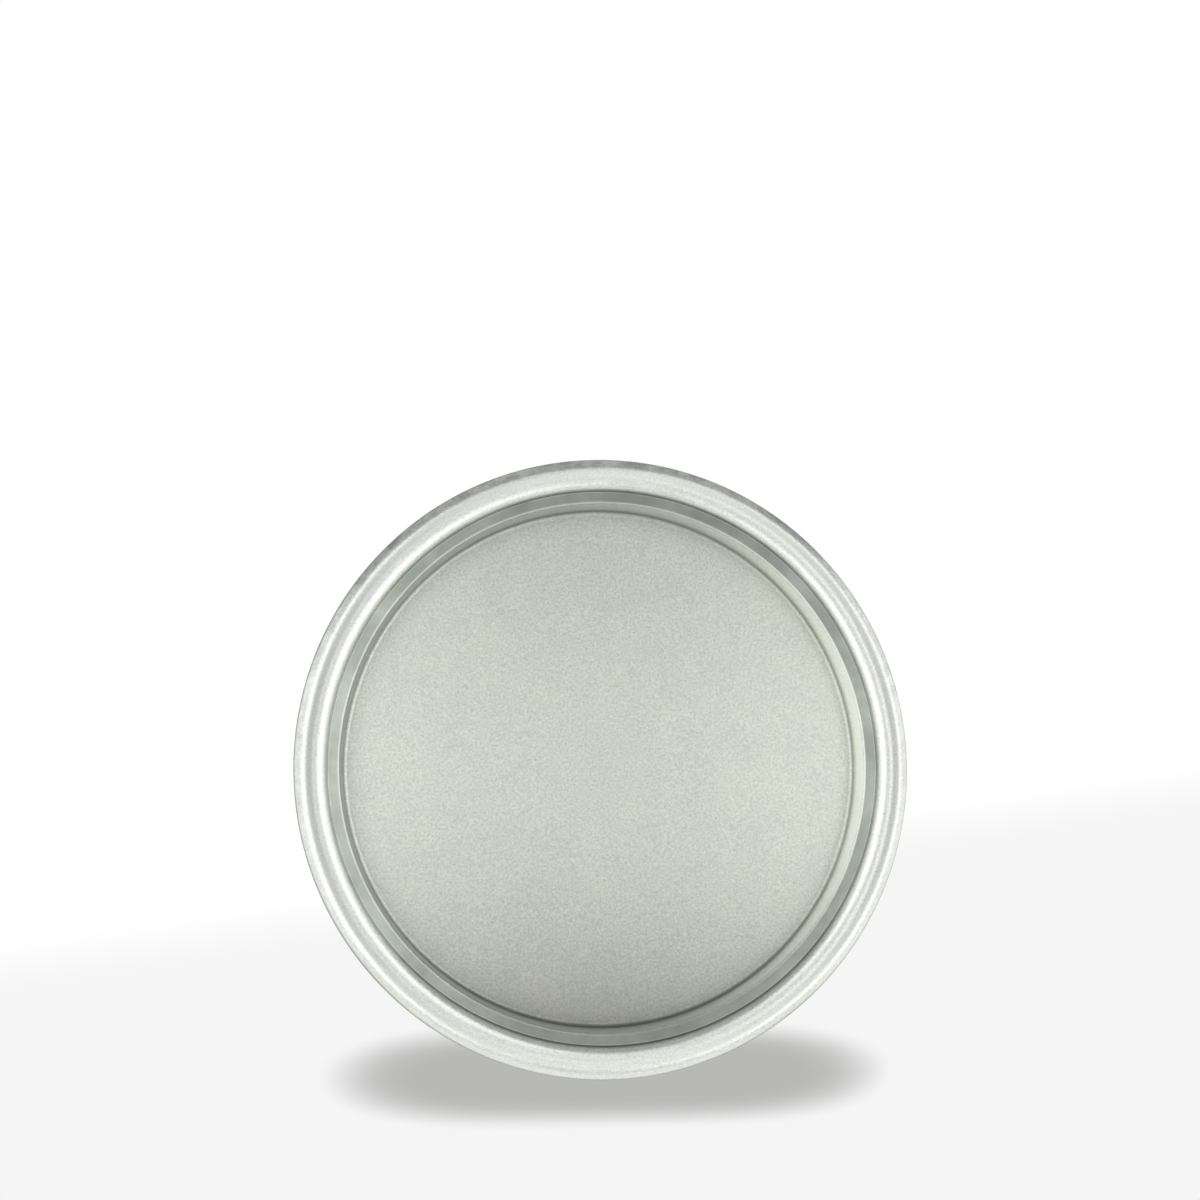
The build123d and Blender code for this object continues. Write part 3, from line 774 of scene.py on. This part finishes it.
def seamCurve(steps=1600):
    # the seam on a unit ball, as its points and the direction across it
    a, b = 0.75, 0.25
    c = 2 * math.sqrt(a * b)
    found = []
    for k in range(steps):
        t = 2 * math.pi * k / steps
        point = Vector((a * math.cos(t) + b * math.cos(3 * t), a * math.sin(t) - b * math.sin(3 * t),
                        c * math.sin(2 * t)))
        along = Vector((-a * math.sin(t) - 3 * b * math.sin(3 * t), a * math.cos(t) - 3 * b * math.cos(3 * t),
                        2 * c * math.cos(2 * t))).normalized()
        found.append((point, point.cross(along)))
    return found


def feltPatch(side):
    # one dumbbell panel, 2.95 mm thick, with its cut edge rounded over; about a ball at the origin
    curve = seamCurve()
    tree = KDTree(len(curve))
    for i, pair in enumerate(curve):
        tree.insert(pair[0], i)
    tree.balance()
    outer, edgeAt = ball["radius"], ball["seamHalf"] + ball["edge"]
    work = bmesh.new()
    bmesh.ops.create_icosphere(work, subdivisions=6, radius=1.0)
    inwards = {}  # direction away from the seam, into the panel
    reach = {}  # distance from the seam in mm, measured round the ball
    for vertex in work.verts:
        where = vertex.co.normalized()
        inwards[vertex] = curve[tree.find(where)[1]][1] * side
        reach[vertex] = math.asin(max(-1, min(1, where.dot(inwards[vertex])))) * outer
    dropped = [f for f in work.faces if min(reach[v] for v in f.verts) < edgeAt - 0.55]
    bmesh.ops.delete(work, geom=dropped, context="FACES")
    bmesh.ops.delete(work, geom=[v for v in work.verts if not v.link_faces], context="VERTS")
    rim = {v for e in work.edges if e.is_boundary for v in e.verts}
    for vertex in work.verts:
        where = vertex.co.normalized()
        if vertex in rim or reach[vertex] < edgeAt:
            where = (where + inwards[vertex] * (edgeAt - reach[vertex]) / outer).normalized()
        vertex.co = where
    inside = bmesh.ops.duplicate(work, geom=list(work.verts) + list(work.edges) + list(work.faces))
    insideVerts = {g for g in inside["geom"] if isinstance(g, bmesh.types.BMVert)}
    bmesh.ops.reverse_faces(work, faces=[g for g in inside["geom"] if isinstance(g, bmesh.types.BMFace)])
    for vertex in work.verts:
        vertex.co *= ball["feltInside"] if vertex in insideVerts else outer
    edges = [e for e in work.edges if e.is_boundary and e.verts[0] not in insideVerts]
    held = {v: (v.co.normalized(), inwards[v]) for e in edges for v in e.verts}
    # rows over the cut edge: distance in from the edge, and radius
    for distance, radius in ((0.5, 32.93), (0.18, 32.72), (0.0, 32.3), (0.0, 30.3), (1.0, ball["feltInside"])):
        made = bmesh.ops.extrude_edge_only(work, edges=edges)["geom"]
        edges = [g for g in made if isinstance(g, bmesh.types.BMEdge)]
        placed = {}
        for vertex in (g for g in made if isinstance(g, bmesh.types.BMVert)):
            source = next(e.other_vert(vertex) for e in vertex.link_edges if e.other_vert(vertex) in held)
            where, aside = held[source]
            vertex.co = (where - aside * (ball["edge"] - distance) / outer).normalized() * radius
            placed[vertex] = (where, aside)
        held = placed
    bmesh.ops.remove_doubles(work, verts=work.verts, dist=0.004)
    bmesh.ops.recalc_face_normals(work, faces=work.faces)
    bmesh.ops.scale(work, verts=work.verts, vec=(mm, mm, mm))
    mesh = bpy.data.meshes.new("feltPatch")
    work.to_mesh(mesh)
    work.free()
    for face in mesh.polygons:
        face.use_smooth = True
    mesh.set_sharp_from_angle(angle=math.radians(60))
    return mesh


def feltNap():
    # short bent fibres over the felt, none where balls press on each other or on the can
    tree, given = newTree("feltNap", {
        "Centre": "Vector", "Skin radius": "Float", "Fibres": "Float", "Length": "Float", "Thickness": "Float",
        "Seed": "Int", "Finish": "Material"})
    position = addNode(tree, "GeometryNodeInputPosition")
    out = addNode(tree, "ShaderNodeVectorMath", "SUBTRACT", {0: position, 1: given["Centre"]})
    far = addNode(tree, "ShaderNodeVectorMath", "LENGTH", {0: out}).outputs["Value"]
    onSkin = addNode(tree, "ShaderNodeMath", "GREATER_THAN", {0: far, 1: given["Skin radius"]})
    height = addNode(tree, "ShaderNodeSeparateXYZ", {}, {0: out}).outputs[2]
    steep = addNode(tree, "ShaderNodeMath", "ABSOLUTE", {0: height})
    free = addNode(tree, "ShaderNodeMath", "LESS_THAN", {0: steep, 1: ball["radius"] * mm * ball["napReach"]})
    grows = addNode(tree, "ShaderNodeMath", "MULTIPLY", {0: onSkin, 1: free})
    points = addNode(tree, "GeometryNodeDistributePointsOnFaces", {"distribute_method": "RANDOM"},
                     {"Mesh": given["Geometry"], "Selection": grows, "Density": given["Fibres"],
                      "Seed": given["Seed"]})
    thick = addNode(tree, "ShaderNodeMath", "MULTIPLY", {0: given["Thickness"], 1: 0.5})
    fibre = addNode(tree, "GeometryNodeMeshCone", {"fill_type": "NONE"},
                    {"Vertices": 3, "Side Segments": 2, "Radius Top": 0.0, "Radius Bottom": thick,
                     "Depth": given["Length"]})
    up = addNode(tree, "ShaderNodeSeparateXYZ", {}, {0: addNode(tree, "GeometryNodeInputPosition")}).outputs[2]
    square = addNode(tree, "ShaderNodeMath", "MULTIPLY", {0: up, 1: up})
    over = addNode(tree, "ShaderNodeMath", "DIVIDE", {0: square, 1: given["Length"]})
    aside = addNode(tree, "ShaderNodeCombineXYZ", {}, {0: over})
    bent = addNode(tree, "GeometryNodeSetPosition", {}, {"Geometry": fibre.outputs["Mesh"], "Offset": aside})
    size = addNode(tree, "FunctionNodeRandomValue", {"data_type": "FLOAT"},
                   {2: 0.5, 3: 1.0, "Seed": given["Seed"]})
    planted = addNode(tree, "GeometryNodeInstanceOnPoints", {},
                      {"Points": points.outputs["Points"], "Instance": bent,
                       "Rotation": points.outputs["Rotation"], "Scale": size})
    swirl = addNode(tree, "FunctionNodeRandomValue", {"data_type": "FLOAT_VECTOR"},
                    {0: (0.75, 0, 0), 1: (1.3, 0, 6.28), "Seed": given["Seed"]})
    leaning = addNode(tree, "GeometryNodeRotateInstances", {}, {"Instances": planted, "Rotation": swirl})
    both = addNode(tree, "GeometryNodeJoinGeometry", {}, {0: given["Geometry"]})
    tree.links.new(leaning.outputs[0], both.inputs[0])
    return finishTree(tree, both, given["Finish"])


nap = feltNap()
patches = {"A": feltPatch(1), "B": feltPatch(-1)}
ballFloor = can["panelHeight"] + can["panelDome"] + can["sheet"] + ball["gap"]
for order, (name, turn) in enumerate(ball["turns"].items()):
    centre = Vector((0, 0, (ballFloor + ball["radius"] + order * (2 * ball["radius"] + ball["gap"])) * mm))
    spin = Matrix.Identity(4)
    for degrees, axis in zip(turn, "XYZ"):
        spin = spin @ Matrix.Rotation(math.radians(degrees), 4, axis)
    for letter, patch in patches.items():
        mesh = patch.copy()
        mesh.transform(Matrix.Translation(centre) @ spin)
        node = f"ball_{name}_felt_{letter.lower()}"
        low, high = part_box(node)
        corners = [[f(v.co[i] for v in mesh.vertices) for i in range(3)] for f in (min, max)]
        miss = max(abs(a - b) for made, kept in zip(corners, (low, high)) for a, b in zip(made, kept))
        print("felt", name, letter, "differs from its node by", round(miss / mm, 3), "mm")
        felt = grown(f"felt{name.capitalize()}{letter}", mesh, nap, {
            "Centre": centre, "Skin radius": (ball["radius"] - 0.35) * mm, "Fibres": ball["fibres"],
            "Length": ball["fibreLength"] * mm, "Thickness": ball["fibreThickness"] * mm,
            "Seed": 11 + 2 * order + (letter == "B"), "Finish": finish["felt"]})
        place(felt, f"ball_{name}", "ball_felt", node)

# nodes of the frame that keep their own shape
kept = {"seam_compound": "compound"}
for name in ball["turns"]:
    kept[f"ball_{name}_core_a"] = kept[f"ball_{name}_core_b"] = "core"
    kept[f"ball_{name}_seam"] = "seam"
for node, key in kept.items():
    mesh = frame["nodes"][node].data
    mesh.materials.clear()
    mesh.materials.append(finish[key])
print("balls made")

# camera, looking up at the base
view = {"place": (-0.0298, 0.0075, -0.2316), "target": (-0.00091, -0.01946, 0), "focal": 59.232}
camera = bpy.data.objects.new("camera", bpy.data.cameras.new("camera"))
camera.data.sensor_width = 36
camera.data.lens = view["focal"]
camera.data.clip_start = 0.01
standing = Vector(view["place"])
forward = (Vector(view["target"]) - standing).normalized()
rightward = forward.cross(Vector((0, -1, 0))).normalized()
upward = rightward.cross(forward)
camera.matrix_world = Matrix([
    (rightward[i], upward[i], -forward[i], standing[i]) for i in range(3)] + [(0, 0, 0, 1)])
scene.collection.objects.link(camera)
scene.camera = camera
scene.view_settings.view_transform = "Standard"


def softBox(name, at, towards, size, brightness, receivers):
    lamp = bpy.data.lights.new(name, "AREA")
    lamp.shape = "RECTANGLE"
    lamp.size, lamp.size_y = size
    lamp.energy = brightness * math.pi * size[0] * size[1]
    box = bpy.data.objects.new(name, lamp)
    box.location = at
    aim = (Vector(towards) - Vector(at)).normalized()
    # the box's long side lies along X where it faces up or down, and level where it faces a side
    across = Vector((1, 0, 0)) if abs(aim.z) > 0.99 else aim.cross((0, 0, 1)).normalized()
    box.rotation_euler = Matrix((across, across.cross(aim), -aim)).transposed().to_euler()
    box.visible_camera = False
    scene.collection.objects.link(box)
    box.light_linking.receiver_collection = receivers


underside = bpy.data.collections.new("litFromBelow")
underside.objects.link(base)
upperSide = bpy.data.collections.new("litFromAbove")
depth = -0.30
softBoxes = {
    # under the base and beside it, brightest at left and right; only the base receives them
    underside: [
        ("underMiddle", (0, -0.01, depth), (0, -0.01, 0), (0.17, 0.24), 0.66),
        ("underLeft", (-0.355, 0.06, depth), (-0.355, 0.06, 0), (0.54, 0.80), 1.75),
        ("underRight", (0.355, 0.06, depth), (0.355, 0.06, 0), (0.54, 0.80), 1.75),
        ("underNear", (0, 0.30, depth), (0, 0.30, 0), (0.17, 0.36), 0.80),
        ("underFar", (0, -0.22, depth), (0, -0.22, 0), (0.17, 0.18), 0.80),
        ("sideLeft", (-0.64, 0.05, 0.15), (0, 0.05, 0.15), (1.10, 0.90), 1.15),
        ("sideRight", (0.64, 0.05, 0.15), (0, 0.05, 0.15), (1.10, 0.90), 1.15),
        ("sideNear", (0, 0.60, 0.15), (0, 0, 0.15), (1.20, 0.90), 1.05),
        ("sideFar", (0, -0.60, 0.15), (0, 0, 0.15), (1.00, 0.90), 0.30),
    ],
    # round the standing can; the base doesn't receive them
    upperSide: [
        ("key", (-0.45, -0.60, 0.42), (0, 0, 0.10), (0.60, 0.20), 8.5),
        ("fill", (0.70, -0.35, 0.35), (0, 0, 0.10), (0.60, 0.14), 5.0),
        ("back", (0.10, 0.80, 0.50), (0, 0, 0.12), (0.40, 0.45), 3.5),
    ],
}
for receivers, boxes in softBoxes.items():
    for name, at, towards, size, brightness in boxes:
        softBox(name, at, towards, size, brightness, receivers)
ceiling = bpy.data.objects.new("ceiling", bpy.data.lights.new("ceiling", "SUN"))
ceiling.data.energy = 1.7
ceiling.data.angle = math.radians(110)
scene.collection.objects.link(ceiling)
ceiling.light_linking.receiver_collection = upperSide

world = bpy.data.worlds.new("studio")
scene.world = world
world.use_nodes = True
tree = world.node_tree
tree.nodes.clear()
seen = addNode(tree, "ShaderNodeBackground", {}, {"Color": (1, 1, 1, 1), "Strength": 1.0})
around = addNode(tree, "ShaderNodeBackground", {}, {"Color": (1, 1, 1, 1), "Strength": 0.35})
rays = addNode(tree, "ShaderNodeLightPath")
mixed = addNode(tree, "ShaderNodeMixShader", {}, {0: rays.outputs["Is Camera Ray"], 1: around, 2: seen})
addNode(tree, "ShaderNodeOutputWorld", {}, {"Surface": mixed})


def oneSided(name, shaderKind, inputs):
    # a stage finish that shows on the front of a plane only
    material = bpy.data.materials.new(name)
    material.use_nodes = True
    tree = material.node_tree
    tree.nodes.clear()
    front = addNode(tree, shaderKind, {}, inputs)
    clear = addNode(tree, "ShaderNodeBsdfTransparent")
    side = addNode(tree, "ShaderNodeNewGeometry").outputs["Backfacing"]
    mixed = addNode(tree, "ShaderNodeMixShader", {}, {0: side, 1: front, 2: clear})
    addNode(tree, "ShaderNodeOutputMaterial", {}, {"Surface": mixed})
    return material, tree, front


def stagePlane(name, corners, material):
    mesh = bpy.data.meshes.new(name)
    mesh.from_pydata(corners, [], [tuple(range(len(corners)))])
    mesh.materials.append(material)
    plane = bpy.data.objects.new(name, mesh)
    scene.collection.objects.link(plane)
    plane.visible_shadow = False
    plane.visible_diffuse = False
    plane.visible_glossy = False
    plane.visible_transmission = False


floorFinish = oneSided("paleFloor", "ShaderNodeBsdfDiffuse", {"Color": colour("#F2F2F0")})[0]
stagePlane("floor", [(-3, -3, 0), (3, -3, 0), (3, 3, 0), (-3, 3, 0)], floorFinish)

# the same pale floor as it lies beyond the base when the can is seen from below, with a soft contact shadow
# painted into its colour
cardFinish, tree, front = oneSided("paleCard", "ShaderNodeEmission", {"Strength": 1.0})
x, y = addNode(tree, "ShaderNodeSeparateXYZ", {},
               {0: addNode(tree, "ShaderNodeTexCoord").outputs["Object"]}).outputs[:2]
shade = {"middle": (0.0029, 0.0383), "half": (0.0335, 0.0056), "floorEdge": 0.0130, "floorSlope": 0.1457}
powers = []
for axis, way, power in ((0, x, 4.0), (1, y, 2.0)):
    offset = addNode(tree, "ShaderNodeMath", "SUBTRACT", {0: way, 1: shade["middle"][axis]})
    share = addNode(tree, "ShaderNodeMath", "DIVIDE", {0: offset, 1: shade["half"][axis]})
    size = addNode(tree, "ShaderNodeMath", "ABSOLUTE", {0: share})
    powers.append(addNode(tree, "ShaderNodeMath", "POWER", {0: size, 1: power}))
reach = addNode(tree, "ShaderNodeMath", "ADD", {0: powers[0], 1: powers[1]})
tone = addNode(tree, "ShaderNodeMapRange", {"interpolation_type": "SMOOTHSTEP"},
               {0: reach, 1: 0.25, 2: 1.5, 3: 0.0, 4: 1.0})
onFloor = addNode(tree, "ShaderNodeMath", "MULTIPLY_ADD", {0: x, 1: shade["floorSlope"], 2: y})
fade = addNode(tree, "ShaderNodeMapRange", {"interpolation_type": "SMOOTHSTEP"},
               {0: onFloor, 1: shade["floorEdge"] - 0.003, 2: shade["floorEdge"] + 0.005, 3: 0.0, 4: 1.0})
floorTone = addNode(tree, "ShaderNodeMix", {"data_type": "RGBA"},
                    {0: fade, 6: colour("#FFFFFF"), 7: colour("#F5F5F5")})
shaded = addNode(tree, "ShaderNodeMix", {"data_type": "RGBA"}, {0: tone, 6: colour("#B8B9B7"), 7: floorTone})
wire(tree, front, {"Color": shaded})
stagePlane("card", [(-0.4, -0.06, 0.02), (-0.4, 0.6, 0.02), (0.4, 0.6, 0.02), (0.4, -0.06, 0.02)], cardFinish)

for piece in scene.objects:
    if piece.type == "MESH" and piece != base:
        upperSide.objects.link(piece)

print("scene ready")
